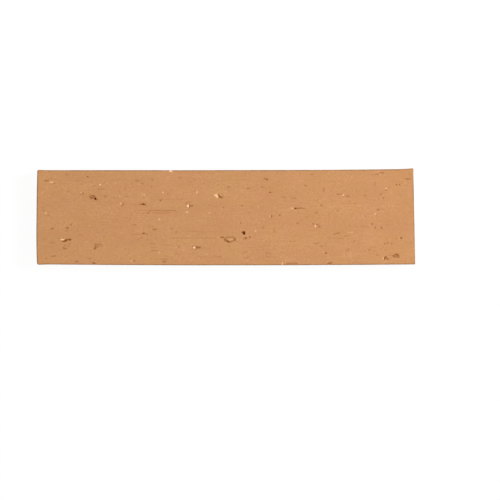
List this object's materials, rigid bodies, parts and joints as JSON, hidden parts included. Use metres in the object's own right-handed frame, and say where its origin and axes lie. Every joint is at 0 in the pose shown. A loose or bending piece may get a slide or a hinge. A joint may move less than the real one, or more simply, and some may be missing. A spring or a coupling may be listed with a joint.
{
  "type": "thin clay brick",
  "caption": "Slim flat facing brick of fired clay: a plain rectangular face with fine drag lines and mineral grains, slightly rounded edges, and a flat back that is bedded on a wall.",
  "frame": {"origin": "middle of the back face, which is the bedding face the brick lies on", "axes": "+X along the brick to the right as the face is seen, +Y up the face, +Z out of the face"},
  "size_m": [0.241, 0.0618, 0.012],
  "materials": {
    "fired_clay": "matte"
  },
  "bodies": {
    "root": {"thin_brick": "fired_clay"}
  },
  "joints": []
}
